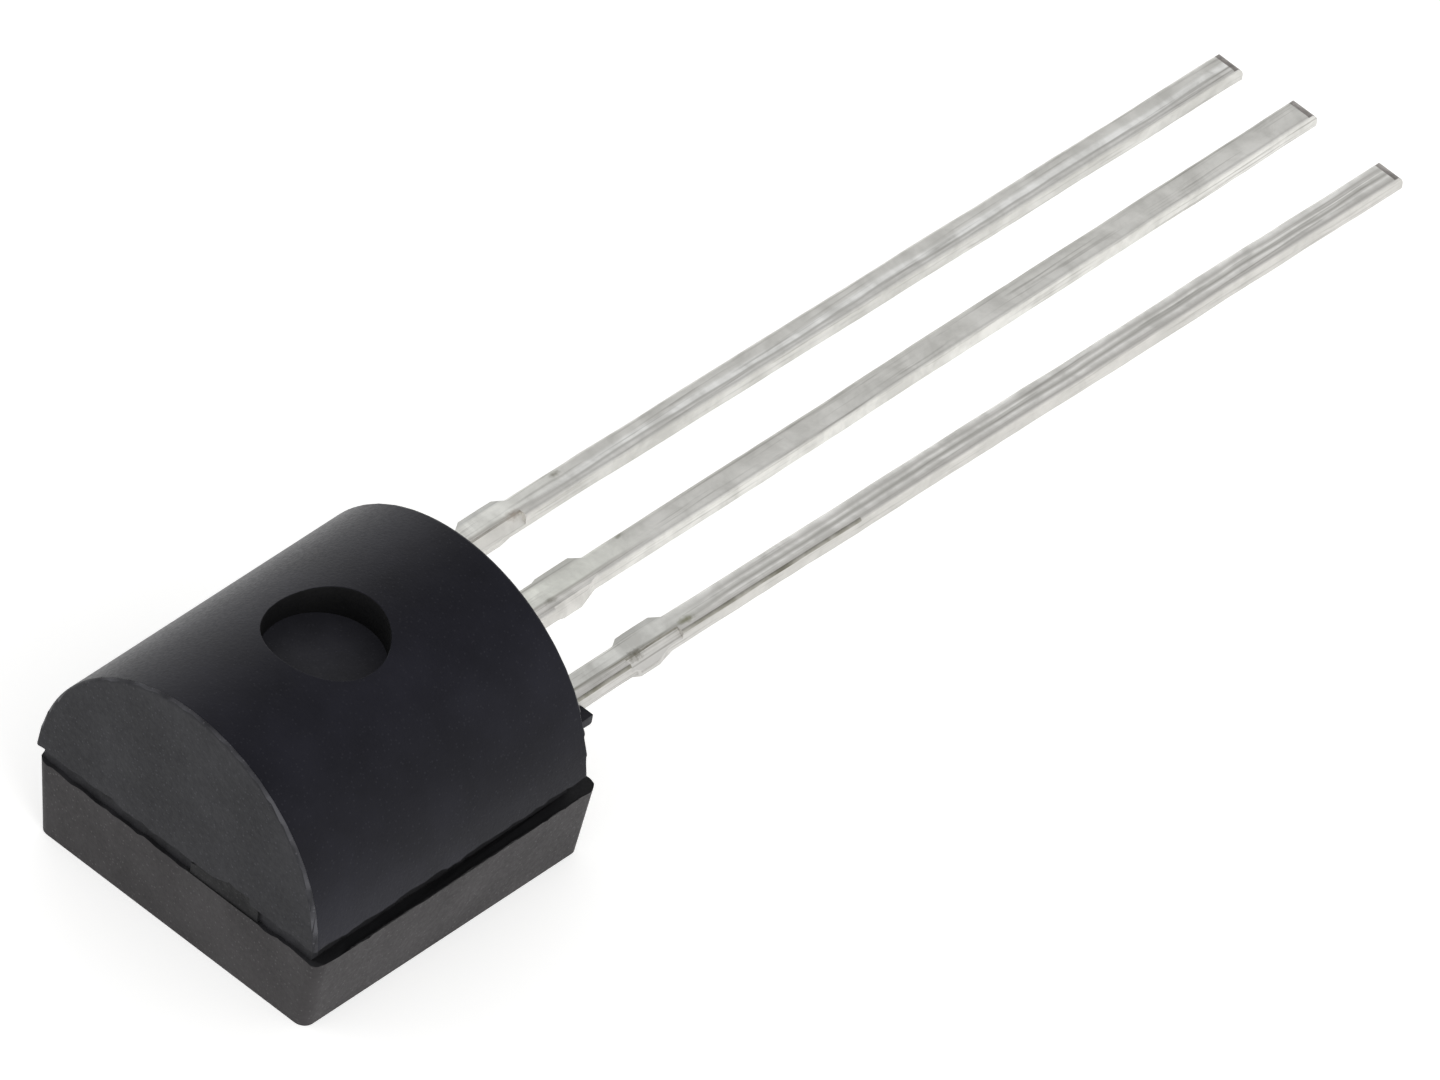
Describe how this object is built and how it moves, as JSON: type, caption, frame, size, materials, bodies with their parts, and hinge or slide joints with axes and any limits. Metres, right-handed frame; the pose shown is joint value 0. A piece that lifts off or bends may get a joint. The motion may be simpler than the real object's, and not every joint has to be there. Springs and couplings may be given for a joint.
{
  "type": "to-92 transistor",
  "caption": "Small D-shaped moulded transistor, flat on one side and domed on the other, with straight flat tinned leads in a row from one end.",
  "frame": {"origin": "middle of the body's flat face: halfway between its two sides and between the closed end and the lead end of the lower half", "axes": "+X across the leads from the emitter to the base, +Y along the leads away from the body, +Z from the flat face up to the dome"},
  "size_m": [0.0046, 0.0193, 0.0036],
  "materials": {
    "epoxy": "fine matte moulding compound, dark grey",
    "tinned_lead": "matte tin plating on rolled copper alloy, faint streaks along the lead",
    "silicon": "polished silicon, dark grey",
    "attach_layer": "silver-filled resin, matte",
    "bond_wire": "bright drawn gold wire"
  },
  "bodies": {
    "root": {"moulded_body": "epoxy", "emitter_lead": "tinned_lead", "collector_lead": "tinned_lead", "base_lead": "tinned_lead", "silicon_die": "silicon", "die_attach": "attach_layer", "emitter_wire": "bond_wire", "base_wire": "bond_wire"}
  },
  "joints": []
}
